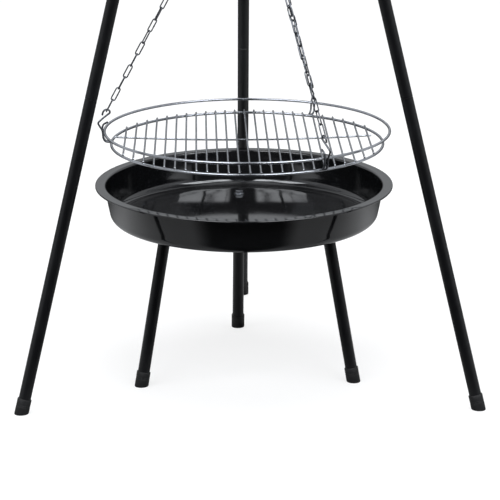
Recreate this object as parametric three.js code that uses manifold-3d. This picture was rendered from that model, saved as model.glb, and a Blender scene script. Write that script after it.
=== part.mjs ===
// Campfire tripod with a swinging grate and a free-standing fire bowl.
// Millimetres, +Z up, origin on the ground under the middle of the overall box.
import * as THREE from 'three';
import { mergeVertices } from 'three/addons/utils/BufferGeometryUtils.js';
import Module from 'manifold-3d';

const wasm = await Module();
wasm.setup();

// ---- Driving dimensions ----------------------------------------------------
const fitGap = 0.3;                // clearance wherever two pieces touch or slide together

// tripod
const footCircle = 474;            // radius of the circle through the three leg feet
const socketCircle = 30.6;         // radius of the leg axes at the underside of the head plate
const legTube = 22;                // leg tube diameter
const legWall = 1.5;
const legSection = 568;            // visible length of a lower or middle leg section
const spigotLength = 50;           // reduced end that plugs into the next section
const capWall = 1.5;               // push-on plastic foot
const capLength = 28;
const capFloor = 9;                // plastic under the end of the tube, along the tube
const headThickness = 5;
const headMargin = 9;              // plate left outside each socket
const socketWall = 2.5;
const socketDepth = 60;

// hanging gear
const chainWire = 2.5;             // link wire of both kinds of chain
const mainPitch = 14;              // short-link main chain
const mainPairsAbove = 22;         // pairs of links from the height plate up to the top hook
const mainLinksBelow = 6;          // links from the one in the slot to the free end
const gratePitch = 24;             // long-link chains from the plate to the grate
const grateLinks = 20;
const eyeWire = 6;
const eyeInner = 16;
const boltDiameter = 8;
const eyeNeck = 10;                // shank showing between the eye and the head plate
const hookWire = 4;
const hookSpan = 45;               // between the wires at the two ends of the top hook
const hookRadius = 7.5;            // wire centre of each hook end
const plateThickness = 2.5;        // height plate
const strandCircle = 30;           // radius at which the three chains pull on the height plate

// cooking grate
const grateHeight = 440;           // wire centre of the lower ring above the ground
const lowerRing = 250;             // ring radii, at the wire centre
const ringFlare = 12;              // upper ring is this much larger in radius
const ringRise = 24;               // upper ring above the lower one
const ringWire = 5;
const barWire = 3.5;
const barSpacing = 18.75;
const barSink = 0.4;               // how far a bar is welded into what it crosses
const barOverRear = 3;             // bar ends past the ring, rear and front
const barOverFront = 1;
const crossbarShort = 14;          // right end of the crossbar stops this far inside the ring
const crossbarRear = 44;           // crossbar ends lie this far behind the middle
const crossbarBow = 28;            // and its middle bows this far forward again
const hangerWire = 3.5;
const hangerSpread = 3.5;          // each strand of a hanger from its middle plane
const hookOut = 6;                 // where the chain pulls, outside the lower ring
const hookRise = 39;               // and above the upper ring

// fire bowl
const bowlRimHeight = 357;
const bowlDepth = 68;
const bowlRim = 277;               // outer radius of the flange
const flangeWidth = 18;
const bowlTaper = 8;               // wall is this much narrower where the corner starts
const bowlCorner = 18;             // corner radius between wall and floor
const bowlWall = 1.5;
const bowlLip = 3;                 // turned-down edge of the flange
const bowlTurn = 2;                // degrees the bowl stands turned in the tripod
const bowlAside = 5.5;             // the bowl stands this much to the left of the tripod axis
const bowlBack = 25;               // and this much behind it
const bowlLegTop = 171;            // radius of the leg bolts in the bowl floor
const bowlLegFoot = 228;
const insertLength = 28;           // threaded plug in the top of each bowl leg
const washerDiameter = 20;
const washerThickness = 1.6;
const boltHead = 13;               // across flats
const boltHeadHeight = 5.3;
const boltReach = 22;              // thread below the bowl floor

const round = 16;                  // sides of a tube or bolt
const wireSides = 6;

// ---- Materials -------------------------------------------------------------
const finish = (name, color, roughness, metalness) =>
  new THREE.MeshStandardMaterial({ name, color, roughness, metalness });
const powderCoat = finish('powder_coat', 0x17181a, 0.5, 0.2);
const plastic = finish('cap_plastic', 0x101112, 0.6, 0);
const enamel = finish('bowl_enamel', 0x0c0d0f, 0.12, 0.1);
const chrome = finish('grate_chrome', 0xc4c7cc, 0.22, 1);
const zinc = finish('zinc_plate', 0xaeb3ba, 0.35, 1);

// ---- Solid helpers ---------------------------------------------------------
const X = new THREE.Vector3(1, 0, 0);
const Z = new THREE.Vector3(0, 0, 1);
const radians = THREE.MathUtils.degToRad;

// A direction in the ground plane, at an angle from +X.
const heading = (degrees) => new THREE.Vector3(Math.cos(radians(degrees)), Math.sin(radians(degrees)), 0);

// Turns a closed geometry into a solid for joining and cutting.
function solid(geometry, matrix = new THREE.Matrix4()) {
  const bare = geometry.clone().applyMatrix4(matrix);
  bare.deleteAttribute('normal');
  bare.deleteAttribute('uv');
  const merged = mergeVertices(bare, 1e-4);
  const vertProperties = Float32Array.from(merged.attributes.position.array);
  const triVerts = Uint32Array.from(merged.index.array);
  return new wasm.Manifold(new wasm.Mesh({ numProp: 3, vertProperties, triVerts }));
}

// Turns a solid back into a geometry.
function geometryOf(body) {
  const { vertProperties, triVerts } = body.getMesh();
  const geometry = new THREE.BufferGeometry();
  geometry.setAttribute('position', new THREE.BufferAttribute(vertProperties, 3));
  geometry.setIndex(new THREE.BufferAttribute(triVerts, 1));
  return geometry;
}

const moved = (x, y, z) => new THREE.Matrix4().makeTranslation(x, y, z);
const joined = (bodies) => bodies.reduce((whole, body) => whole.add(body));

// A profile of [radius, height] points turned about Z.
function turned(points, sides = round) {
  const profile = points.map(([radius, height]) => new THREE.Vector2(radius, height));
  return new THREE.LatheGeometry(profile, sides).rotateX(Math.PI / 2);
}

// A plain rod standing on height `low`, and a hollow one as a closed ring profile.
const rod = (radius, low, high, sides = round) =>
  turned([[0, low], [radius, low], [radius, high], [0, high]], sides);
const pipe = (outer, inner, low, high) =>
  turned([[inner, low], [outer, low], [outer, high], [inner, high], [inner, low]]);

// A flat outline extruded upwards from height `low`.
const slab = (shape, low, depth, curveSegments = 6) =>
  new THREE.ExtrudeGeometry(shape, { depth, bevelEnabled: false, curveSegments }).translate(0, 0, low);

// A round wire bent along a curve.
function wire(curve, diameter, steps, sides = wireSides) {
  const section = new THREE.Shape();
  section.absarc(0, 0, diameter / 2, 0, 2 * Math.PI, false);
  return new THREE.ExtrudeGeometry(section, { extrudePath: curve, steps, curveSegments: sides / 2 });
}

const throughPoints = (points) => new THREE.CatmullRomCurve3(points, false, 'centripetal');

const model = new THREE.Group();
function mesh(name, geometry, material, parent = model) {
  const piece = new THREE.Mesh(geometry, material);
  piece.name = name;
  parent.add(piece);
  return piece;
}

// ---- Sizes that follow from the driving dimensions -------------------------
const capDiameter = legTube + 2 * (fitGap + capWall);
const upperRing = lowerRing + ringFlare;
const bowlMouth = bowlRim - flangeWidth;                        // inner radius of the flange
const hookUp = ringRise + hookRise;
// The link in the slot lies as the top link does, so the chain above it has whole pairs.
const mainLinksAbove = 2 * mainPairsAbove;
const linkInner = Math.max(hookWire, hangerWire) + 1;           // room inside a link for either hook
const linkWidth = linkInner + 2 * chainWire;
const plateStrand = linkInner - 6 * fitGap;                     // metal between a chain hole and the edge
const chainHole = 2 * chainWire + 1;
const slotWidth = chainWire + 3 * fitGap;
const entryHole = linkWidth + 10 * fitGap;                      // passes the main chain sideways
const entryOffset = (entryHole + linkWidth) / 2 + 2.5;          // leaves metal beside the resting link

const hangerPull = (hangerWire + chainWire) / 2 + 5 * fitGap;   // hook wire to link wire
const chainRun = lowerRing + hookOut - strandCircle;      // how far a grate chain leans in
const leanGuess = Math.asin(chainRun / (grateLinks * gratePitch));
const platePull = plateStrand / 2 * Math.sin(leanGuess) + plateThickness / 2 * Math.cos(leanGuess)
  + chainWire / 2 + fitGap;                                     // strand middle to link wire
const chainLength = grateLinks * gratePitch + chainWire - hangerPull - platePull;
const chainRise = Math.sqrt(chainLength ** 2 - chainRun ** 2);
const hangerHookHeight = grateHeight + hookUp;
const plateHeight = hangerHookHeight + chainRise;               // middle of the height plate
const restingLink = plateHeight + plateThickness / 2 + fitGap + mainPitch / 2 + chainWire;
const topLink = restingLink + (mainLinksAbove - 1) * mainPitch;
const hookLow = topLink + mainPitch / 2 - hookWire / 2 - fitGap;
const hookHigh = hookLow + hookSpan;
const eyeLow = hookHigh - hookWire / 2 - eyeWire / 2 - fitGap;
const eyeRadius = (eyeInner + eyeWire) / 2;
const eyeCentre = eyeLow + eyeRadius;
const headHeight = eyeCentre + eyeRadius + eyeNeck;             // underside of the head plate

const legLean = Math.atan((footCircle - socketCircle) / headHeight);
const legLength = headHeight / Math.cos(legLean);               // floor to head plate, along a leg

// ---- Tripod ----------------------------------------------------------------
// A leg frame has its origin where the leg axis meets the ground and +Z up the leg.
function legFrame(angle, footRadius, lean) {
  const foot = heading(angle).multiplyScalar(footRadius);
  const inward = heading(angle).negate().multiplyScalar(Math.sin(lean));
  const up = inward.add(new THREE.Vector3(0, 0, Math.cos(lean)));
  const turn = new THREE.Quaternion().setFromUnitVectors(Z, up);
  return new THREE.Matrix4().compose(foot, turn, new THREE.Vector3(1, 1, 1));
}

// Everything above the ground, as seen from a leg frame.
function aboveGround(frame) {
  const block = new THREE.BoxGeometry(2 * capDiameter, 2 * capDiameter, 2 * capLength);
  const foot = new THREE.Vector3().setFromMatrixPosition(frame);
  block.translate(foot.x, foot.y, capLength);
  return solid(block, frame.clone().invert());
}

// Push-on foot: a cup on the tube, cut level with the ground.
function footCap(frame) {
  const outer = capDiameter / 2;
  const bore = legTube / 2 + fitGap;
  const edge = 1.2;
  const cup = turned([[0, -capFloor], [outer, -capFloor], [outer, capLength - edge],
    [outer - edge, capLength], [bore, capLength], [bore, capFloor], [0, capFloor]]);
  return geometryOf(solid(cup).intersect(aboveGround(frame)));
}

// A tube section, with a reduced spigot on top when another one plugs onto it.
function tubeSection(low, high, spigot) {
  const outer = legTube / 2;
  const inner = outer - legWall;
  if (!spigot) return pipe(outer, inner, low, high);
  const neck = inner - fitGap;
  const neckInner = neck - legWall;
  const tip = high + spigot;
  return turned([[inner, low], [outer, low], [outer, high], [neck, high], [neck, tip],
    [neckInner, tip], [neckInner, high - legWall], [inner, high - legWall], [inner, low]]);
}

const legAngles = { left: 210, right: 330, rear: 90 };
const boreEnd = legLength - (legTube / 2) * Math.tan(legLean) - fitGap;
for (const [side, angle] of Object.entries(legAngles)) {
  const frame = legFrame(angle, footCircle, legLean);
  const leg = new THREE.Group();
  leg.applyMatrix4(frame);
  model.add(leg);
  const lowerEnd = capFloor + fitGap;
  const firstJoint = capFloor + legSection;
  const secondJoint = firstJoint + legSection;
  mesh(`foot_cap_${side}`, footCap(frame), plastic, leg);
  mesh(`leg_lower_${side}`, tubeSection(lowerEnd, firstJoint, spigotLength), powderCoat, leg);
  mesh(`leg_middle_${side}`, tubeSection(firstJoint + fitGap, secondJoint, spigotLength), powderCoat, leg);
  mesh(`leg_upper_${side}`, tubeSection(secondJoint + fitGap, boreEnd - fitGap), powderCoat, leg);
}

// Head: a round plate with three angled sockets welded under it.
function tripodHead() {
  const outer = legTube / 2 + fitGap + socketWall;
  const plateRadius = socketCircle + outer / Math.cos(legLean) + headMargin;
  const plate = solid(rod(plateRadius, headHeight, headHeight + headThickness, 30));
  const below = solid(rod(2 * plateRadius, headHeight - 2 * socketDepth, headHeight + headThickness));
  const frames = Object.values(legAngles).map((angle) => legFrame(angle, footCircle, legLean));
  const sockets = frames.map((frame) =>
    solid(rod(outer, boreEnd - socketDepth, legLength + headThickness + outer), frame).intersect(below));
  const bores = frames.map((frame) =>
    solid(rod(legTube / 2 + fitGap, boreEnd - 2 * socketDepth, boreEnd), frame));
  const boltHole = solid(rod(boltDiameter / 2 + fitGap, headHeight - 1, headHeight + headThickness + 1));
  return geometryOf(joined([plate, ...sockets]).subtract(joined(bores)).subtract(boltHole));
}
mesh('tripod_head', tripodHead(), powderCoat);

// ---- Fasteners -------------------------------------------------------------
// A hexagon across flats, optionally with a round hole.
function hexagon(acrossFlats, hole = 0) {
  const corner = acrossFlats / Math.sqrt(3);
  const shape = new THREE.Shape();
  for (let side = 0; side < 6; side += 1) {
    const at = heading(60 * side + 30).multiplyScalar(corner);
    if (side === 0) shape.moveTo(at.x, at.y);
    else shape.lineTo(at.x, at.y);
  }
  shape.closePath();
  if (hole) shape.holes.push(new THREE.Path().absarc(0, 0, hole / 2, 0, 2 * Math.PI, true));
  return shape;
}
const washer = (low) =>
  pipe(washerDiameter / 2, boltDiameter / 2 + fitGap, low, low + washerThickness);

// ---- Swivel eye bolt -------------------------------------------------------
const headTop = headHeight + headThickness;
const nutHeight = 8;
const nutLow = headTop + washerThickness + 2 * fitGap;
const eyeRing = new THREE.TorusGeometry(eyeRadius, eyeWire / 2, 8, 20).rotateX(Math.PI / 2);
const eyeShank = rod(boltDiameter / 2, eyeCentre + eyeRadius - 1, nutLow + nutHeight + 3);
mesh('eye_bolt', geometryOf(solid(eyeRing, moved(0, 0, eyeCentre)).add(solid(eyeShank))), zinc);
mesh('eye_washer', washer(headTop + fitGap), zinc);
mesh('eye_nut', slab(hexagon(boltHead, boltDiameter + 2 * fitGap), nutLow, nutHeight), zinc);

// ---- Top hook --------------------------------------------------------------
// An S in the YZ plane: the upper end sits over the eye, the lower end carries the chain.
function topHook() {
  const points = [];
  const highCentre = hookHigh - hookRadius;
  const lowCentre = hookLow + hookRadius;
  for (let degrees = -40; degrees <= 180; degrees += 20) {
    const y = -hookRadius * Math.cos(radians(degrees));
    points.push(new THREE.Vector3(0, y, highCentre + hookRadius * Math.sin(radians(degrees))));
  }
  for (let degrees = 0; degrees <= 220; degrees += 20) {
    const y = -hookRadius * Math.cos(radians(degrees));
    points.push(new THREE.Vector3(0, y, lowCentre - hookRadius * Math.sin(radians(degrees))));
  }
  return wire(throughPoints(points), hookWire, 32, 8);
}
mesh('top_hook', topHook(), zinc);

// ---- Chains ----------------------------------------------------------------
// The outline of a link, long axis along Y, its round ends drawn as three flats each.
function linkOutline(pitch, open) {
  const loop = (path, halfWidth, halfLength) => {
    const cut = halfWidth / 2;
    const corners = [[halfWidth, cut - halfLength], [halfWidth, halfLength - cut], [cut, halfLength],
      [-cut, halfLength], [-halfWidth, halfLength - cut], [-halfWidth, cut - halfLength],
      [-cut, -halfLength], [cut, -halfLength]];
    return path.setFromPoints(corners.map(([x, y]) => new THREE.Vector2(x, y)));
  };
  const shape = loop(new THREE.Shape(), linkWidth / 2, pitch / 2 + chainWire);
  if (open) shape.holes.push(loop(new THREE.Path(), linkWidth / 2 - chainWire, pitch / 2));
  return shape;
}

// Links run from `start`, the middle of the first one, along `along`; the first lies flat in `across`.
// Only the end links, which other pieces pass through, are open loops; the rest are solid plates.
function chain(start, along, across, count, pitch, openEnds) {
  const other = new THREE.Vector3().crossVectors(across, along).negate();
  const bodies = [];
  for (let index = 0; index < count; index += 1) {
    const open = openEnds.includes(index);
    const link = slab(linkOutline(pitch, open), -chainWire / 2, chainWire);
    const wide = index % 2 ? other : across;
    const thick = new THREE.Vector3().crossVectors(wide, along);
    const place = new THREE.Matrix4().makeBasis(wide, along, thick);
    place.setPosition(start.clone().addScaledVector(along, index * pitch));
    bodies.push(solid(link, place));
  }
  return geometryOf(joined(bodies));
}

const down = Z.clone().negate();
const mainLinks = mainLinksAbove + mainLinksBelow;
mesh('main_chain', chain(new THREE.Vector3(0, 0, topLink), down, X, mainLinks, mainPitch, [0]), zinc);

// ---- Height plate ----------------------------------------------------------
// The main chain hangs in the slot and can be shifted sideways into the round entry hole.
const grateAngles = { left: 180, right_rear: 60, right_front: -60 };
function heightPlate() {
  const plateRadius = strandCircle + plateStrand / 2;
  const low = plateHeight - plateThickness / 2;
  const cutLow = low - 1;
  const cutDepth = plateThickness + 2;
  const slotEnd = -(linkWidth / 2 + 2 * fitGap);
  const slot = new THREE.BoxGeometry(entryOffset - slotEnd, slotWidth, cutDepth);
  slot.translate((entryOffset + slotEnd) / 2, 0, plateHeight);
  const entry = rod(entryHole / 2, cutLow, cutLow + cutDepth, 24).translate(entryOffset, 0, 0);
  const holeCircle = strandCircle - plateStrand / 2 - chainHole / 2;
  const cuts = [solid(slot), solid(entry)];
  for (const angle of Object.values(grateAngles)) {
    const at = heading(angle).multiplyScalar(holeCircle);
    cuts.push(solid(rod(chainHole / 2, cutLow, cutLow + cutDepth, 16).translate(at.x, at.y, 0)));
  }
  return geometryOf(solid(rod(plateRadius, low, low + plateThickness, 30)).subtract(joined(cuts)));
}
mesh('height_plate', heightPlate(), zinc);

// ---- Grate chains and hangers ----------------------------------------------
// Points of a hanger wire: distance outside the lower ring, height above it, and sideways.
function hangerWireCurve(angle) {
  const outward = heading(angle);
  const sideways = new THREE.Vector3(-outward.y, outward.x, 0);
  const clear = upperRing - lowerRing + (ringWire + hangerWire) / 2 + 2 * fitGap;
  const weld = (ringWire + hangerWire) / 2 + 2 * fitGap;
  const s = hangerSpread;
  const shape = [
    [5.6, ringRise + 15, -s], [14, ringRise + 10, -s], [clear, ringRise + 4, -s], [clear, ringRise, -s],
    [14.2, 9.5, -s], [10.5, 4, -s], [weld, 2.2, -s / 2], [weld - 0.3, 2, 0], [weld, 2.2, s / 2],
    [10.5, 4, s], [14.2, 9.5, s], [clear, ringRise, s], [19.8, ringRise + 7, s],
    [23.3, ringRise + 14, s * 0.7], [18.5, ringRise + 19.5, s * 0.4], [hookOut, hookUp - 9.5, 0],
    [hookOut - 4.2, hookUp - 6, 0], [hookOut - 3.6, hookUp - 2.2, 0], [hookOut, hookUp, 0],
    [hookOut + 4.6, hookUp - 0.7, 0], [hookOut + 8, hookUp - 4.6, 0], [hookOut + 9.8, hookUp - 11, 0],
  ];
  return throughPoints(shape.map(([out, up, aside]) => new THREE.Vector3(0, 0, grateHeight + up)
    .addScaledVector(outward, lowerRing + out).addScaledVector(sideways, aside)));
}

for (const [place, angle] of Object.entries(grateAngles)) {
  mesh(`hanger_${place}`, wire(hangerWireCurve(angle), hangerWire, 44), chrome);
  const outward = heading(angle);
  const sideways = new THREE.Vector3(-outward.y, outward.x, 0);
  const along = outward.clone().multiplyScalar(-chainRun).setZ(chainRise).normalize();
  const start = outward.clone().multiplyScalar(lowerRing + hookOut).setZ(hangerHookHeight);
  start.addScaledVector(along, gratePitch / 2 + chainWire / 2 - hangerPull);
  const links = chain(start, along, sideways, grateLinks, gratePitch, [0, grateLinks - 1]);
  mesh(`grate_chain_${place}`, links, zinc);
}

// ---- Cooking grate ---------------------------------------------------------
mesh('upper_ring', new THREE.TorusGeometry(upperRing, ringWire / 2, wireSides, 48)
  .translate(0, 0, grateHeight + ringRise), chrome);

function cookingGrate() {
  const ring = new THREE.TorusGeometry(lowerRing, ringWire / 2, wireSides, 48);
  const bodies = [solid(ring, moved(0, 0, grateHeight))];
  const barHeight = grateHeight + (ringWire + barWire) / 2 - barSink;
  const outermost = Math.floor((lowerRing - 1.2 * barSpacing) / barSpacing);
  for (let index = -outermost; index <= outermost; index += 1) {
    const x = index * barSpacing;
    const half = Math.sqrt(lowerRing ** 2 - x ** 2);
    const bar = rod(barWire / 2, -half - barOverFront, half + barOverRear, wireSides).rotateX(-Math.PI / 2);
    bodies.push(solid(bar, moved(x, 0, barHeight)));
  }
  const crossHeight = barHeight - barWire + barSink;
  const leftEnd = -Math.sqrt(lowerRing ** 2 - crossbarRear ** 2);
  const cross = new THREE.QuadraticBezierCurve3(
    new THREE.Vector3(leftEnd, crossbarRear, crossHeight),
    new THREE.Vector3(0, crossbarRear - 2 * crossbarBow, crossHeight),
    new THREE.Vector3(-leftEnd - crossbarShort, crossbarRear, crossHeight));
  bodies.push(solid(wire(cross, barWire, 12)));
  return geometryOf(joined(bodies));
}
mesh('cooking_grate', cookingGrate(), chrome);

// ---- Fire bowl -------------------------------------------------------------
const bowl = new THREE.Group();
bowl.rotation.z = radians(bowlTurn);
bowl.position.set(-bowlAside, bowlBack, 0);
model.add(bowl);
const bowlFloor = bowlRimHeight - bowlDepth;                    // outside of the bowl floor
const bowlLegLean = Math.atan((bowlLegFoot - bowlLegTop) / bowlFloor);

// Quarter bend between wall and floor, from the floor outwards or back in.
function cornerPoints(radius, centreRadius, centreHeight, steps) {
  const points = [];
  for (let step = 0; step <= steps; step += 1) {
    const angle = (step / steps) * (Math.PI / 2);
    points.push([centreRadius + radius * Math.sin(angle), centreHeight - radius * Math.cos(angle)]);
  }
  return points;
}

function fireBowl() {
  const cornerTop = bowlMouth - bowlTaper;
  const outside = cornerPoints(bowlCorner, cornerTop - bowlCorner, bowlFloor + bowlCorner, 4);
  const inside = cornerPoints(bowlCorner - bowlWall, cornerTop - bowlCorner, bowlFloor + bowlCorner, 4);
  const under = bowlRimHeight - bowlWall;
  const shell = turned([[0, bowlFloor], ...outside, [bowlMouth, under], [bowlRim - bowlWall, under],
    [bowlRim - bowlWall, bowlRimHeight - bowlLip], [bowlRim, bowlRimHeight - bowlLip],
    [bowlRim, bowlRimHeight], [bowlMouth - bowlWall, bowlRimHeight], ...inside.reverse(),
    [0, bowlFloor + bowlWall]], 40);
  const holes = Object.values(legAngles).map((angle) => {
    const at = heading(angle).multiplyScalar(bowlLegTop);
    const hole = rod(boltDiameter / 2 + fitGap, bowlFloor - 2, bowlFloor + bowlWall + 2);
    return solid(hole.translate(at.x, at.y, 0));
  });
  return geometryOf(solid(shell).subtract(joined(holes)));
}
mesh('fire_bowl', fireBowl(), enamel, bowl);

const bowlLegLength = bowlFloor / Math.cos(bowlLegLean);
const legReach = legTube;                                       // material added before a level cut
for (const [side, angle] of Object.entries(legAngles)) {
  const frame = legFrame(angle, bowlLegFoot, bowlLegLean);
  const at = heading(angle).multiplyScalar(bowlLegTop);
  const boltAxis = moved(at.x, at.y, 0);
  const underBowl = new THREE.BoxGeometry(4 * bowlRim, 4 * bowlRim, bowlFloor);
  underBowl.translate(0, 0, bowlFloor / 2 - fitGap);
  const tube = pipe(legTube / 2, legTube / 2 - legWall, capFloor + fitGap, bowlLegLength + legReach);
  const plug = rod(legTube / 2 - legWall - fitGap, bowlLegLength - insertLength, bowlLegLength + legReach);
  const thread = rod(boltDiameter / 2 + fitGap, bowlFloor - boltReach - 2, bowlFloor + legReach);
  mesh(`bowl_leg_${side}`, geometryOf(solid(tube, frame).intersect(solid(underBowl))), powderCoat, bowl);
  mesh(`bowl_leg_insert_${side}`, geometryOf(solid(plug, frame).intersect(solid(underBowl))
    .subtract(solid(thread, boltAxis))), zinc, bowl);
  mesh(`bowl_foot_cap_${side}`, footCap(frame).applyMatrix4(frame), plastic, bowl);
  const floorTop = bowlFloor + bowlWall;
  const headLow = floorTop + washerThickness + 2 * fitGap;
  const shank = rod(boltDiameter / 2, bowlFloor - boltReach, headLow + 1);
  const head = slab(hexagon(boltHead), headLow, boltHeadHeight);
  mesh(`bowl_washer_${side}`, washer(floorTop + fitGap).applyMatrix4(boltAxis), zinc, bowl);
  mesh(`bowl_bolt_${side}`, geometryOf(solid(shank, boltAxis).add(solid(head, boltAxis))), zinc, bowl);
}

// ---- Origin under the middle of the overall box ----------------------------
model.updateMatrixWorld(true);
const box = new THREE.Box3().setFromObject(model, true);
model.position.set(-(box.min.x + box.max.x) / 2, -(box.min.y + box.max.y) / 2, 0);

export default model;
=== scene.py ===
import math

import bmesh
import bpy
import numpy as np
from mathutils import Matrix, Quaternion, Vector


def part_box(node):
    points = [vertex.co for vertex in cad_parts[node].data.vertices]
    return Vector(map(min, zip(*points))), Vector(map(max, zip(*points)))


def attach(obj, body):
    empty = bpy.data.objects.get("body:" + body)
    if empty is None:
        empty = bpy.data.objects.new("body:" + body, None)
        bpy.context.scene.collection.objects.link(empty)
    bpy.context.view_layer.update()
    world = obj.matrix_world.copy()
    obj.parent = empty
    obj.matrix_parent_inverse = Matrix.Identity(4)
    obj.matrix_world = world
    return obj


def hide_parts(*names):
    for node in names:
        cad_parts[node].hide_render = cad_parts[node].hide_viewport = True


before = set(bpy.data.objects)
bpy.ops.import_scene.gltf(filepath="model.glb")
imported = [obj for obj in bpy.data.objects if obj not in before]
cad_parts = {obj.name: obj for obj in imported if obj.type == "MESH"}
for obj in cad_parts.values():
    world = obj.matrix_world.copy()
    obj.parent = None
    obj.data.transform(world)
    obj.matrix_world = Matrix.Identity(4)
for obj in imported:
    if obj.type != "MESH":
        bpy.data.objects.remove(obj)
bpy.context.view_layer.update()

# All lengths are metres. The tripod's axis is where the rings are centred.
ringLow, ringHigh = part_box("upper_ring")
axisX = (ringLow.x + ringHigh.x) / 2
axisY = (ringLow.y + ringHigh.y) / 2
fitGap = 0.0003  # between pieces that touch
legAngles = {"left": 210, "right": 330, "rear": 90}
grateAngles = {"left": 180, "right_rear": 60, "right_front": -60}
print("frame loaded, axis at", round(axisX, 4), round(axisY, 4))


# Quads of a grid: each point joins its neighbour along both parameters. The columns always close
# on themselves, and the rows do when closeRows is set.
def gridFaces(rows, columns, closeRows):
    row = np.arange(rows if closeRows else rows - 1)[:, None]
    column = np.arange(columns)[None, :]
    nextRow, nextColumn = (row + 1) % rows, (column + 1) % columns
    corners = [row * columns + column, row * columns + nextColumn]
    corners += [nextRow * columns + nextColumn, nextRow * columns + column]
    return np.stack(corners, -1).reshape(-1, 4)


# A grid of points as one closed shell; where the rows stay open a flat face closes each end.
def shellOf(grid, closeRows=False):
    rows, columns = grid.shape[:2]
    faces = [gridFaces(rows, columns, closeRows)]
    if not closeRows:
        faces.append(np.arange(columns)[::-1][None, :])
        faces.append((rows - 1) * columns + np.arange(columns)[None, :])
    return grid.reshape(-1, 3), faces


# Several shells as one.
def joinShells(shells):
    points, faces, start = [], [], 0
    for shellPoints, shellFaces in shells:
        points.append(shellPoints)
        faces += [block + start for block in shellFaces]
        start += len(shellPoints)
    return np.concatenate(points), faces


# One shell repeated: point = origin + x * first direction + y * second + z * third, for every copy.
def copiesOf(shell, origins, bases):
    points, faces = shell
    placed = origins[:, None, :] + np.einsum("pk,nkj->npj", points, bases)
    starts = np.arange(len(origins))[:, None, None] * len(points)
    return placed.reshape(-1, 3), [(block[None] + starts).reshape(-1, block.shape[1]) for block in faces]


# A profile of radius and height turned about the vertical: (radius cos a, radius sin a, height).
def turned(profile, sides, closed=False, centre=(0, 0, 0)):
    profile = np.asarray(profile, float)
    turn = np.linspace(0, 2 * math.pi, sides, endpoint=False)
    grid = np.empty((len(profile), sides, 3))
    grid[..., 0] = profile[:, :1] * np.cos(turn)
    grid[..., 1] = profile[:, :1] * np.sin(turn)
    grid[..., 2] = profile[:, 1:2]
    return shellOf(grid + np.asarray(centre, float), closed)


# Rounds a profile: each corner becomes an arc that touches both of its sides,
# start sin((1 - s) w) + end sin(s w), divided by sin w, about the arc's centre.
def rounded(corners, radii, steps=5, closed=False):
    corners = np.asarray(corners, float)
    radii = np.broadcast_to(np.asarray(radii, float), len(corners))
    share = np.linspace(0, 1, steps + 1)[:, None]
    result = []
    for index, corner in enumerate(corners):
        before = corners[index - 1] - corner
        after = corners[(index + 1) % len(corners)] - corner
        isEnd = not closed and index in (0, len(corners) - 1)
        if isEnd or radii[index] == 0:
            result.append(corner[None])
            continue
        reach = 0.48 * min(np.linalg.norm(before), np.linalg.norm(after))
        before, after = before / np.linalg.norm(before), after / np.linalg.norm(after)
        half = math.acos(np.clip(before @ after, -1, 1)) / 2
        length = min(radii[index] / math.tan(half), reach)
        middle = (before + after) / np.linalg.norm(before + after)
        centre = corner + middle * length / math.cos(half)
        start, end = corner + before * length - centre, corner + after * length - centre
        swing = math.pi - 2 * half
        arc = np.sin((1 - share) * swing) * start + np.sin(share * swing) * end
        result.append(centre + arc / math.sin(swing))
    return np.concatenate(result)


# A flat ring with small round edges, such as a washer.
def ringShell(inner, outer, low, high, sides, edge, centre=(0, 0, 0)):
    corners = [[inner, low], [outer, low], [outer, high], [inner, high]]
    return turned(rounded(corners, edge, 3, True), sides, True, centre)


# A round wire closed on itself: (R + r cos b) about the vertical, r sin b up.
def hoopShell(hoopRadius, wireRadius, height, around, section):
    turn = -np.linspace(0, 2 * math.pi, section, endpoint=False)[::-1]
    profile = np.stack([hoopRadius + wireRadius * np.cos(turn), height + wireRadius * np.sin(turn)], -1)
    return turned(profile, around, True)


# Vectors scaled to length one: v / |v|.
def unit(vectors):
    return vectors / np.linalg.norm(vectors, axis=-1, keepdims=True)


# Curve through points: cubic pieces whose end slopes weigh the neighbours by the square root of
# the distances between the points.
def smoothPath(points, steps):
    points = np.asarray(points, float)
    padded = np.vstack([2 * points[0] - points[1], points, 2 * points[-1] - points[-2]])
    p0, p1, p2, p3 = padded[:-3], padded[1:-2], padded[2:-1], padded[3:]
    d0, d1, d2 = (np.sqrt(np.linalg.norm(b - a, axis=1))[:, None] for a, b in ((p0, p1), (p1, p2), (p2, p3)))
    slopeStart = ((p1 - p0) / d0 - (p2 - p0) / (d0 + d1) + (p2 - p1) / d1) * d1
    slopeEnd = ((p2 - p1) / d1 - (p3 - p1) / (d1 + d2) + (p3 - p2) / d2) * d1
    t = np.linspace(0, 1, steps, endpoint=False)[:, None, None]
    curve = (2 * t**3 - 3 * t**2 + 1) * p1 + (t**3 - 2 * t**2 + t) * slopeStart
    curve = curve + (3 * t**2 - 2 * t**3) * p2 + (t**3 - t**2) * slopeEnd
    return np.vstack([curve.transpose(1, 0, 2).reshape(-1, 3), points[-1]])


wireEnd = {"cutback": 0.3, "radius": 0.65}  # as shares of the wire's radius


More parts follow.
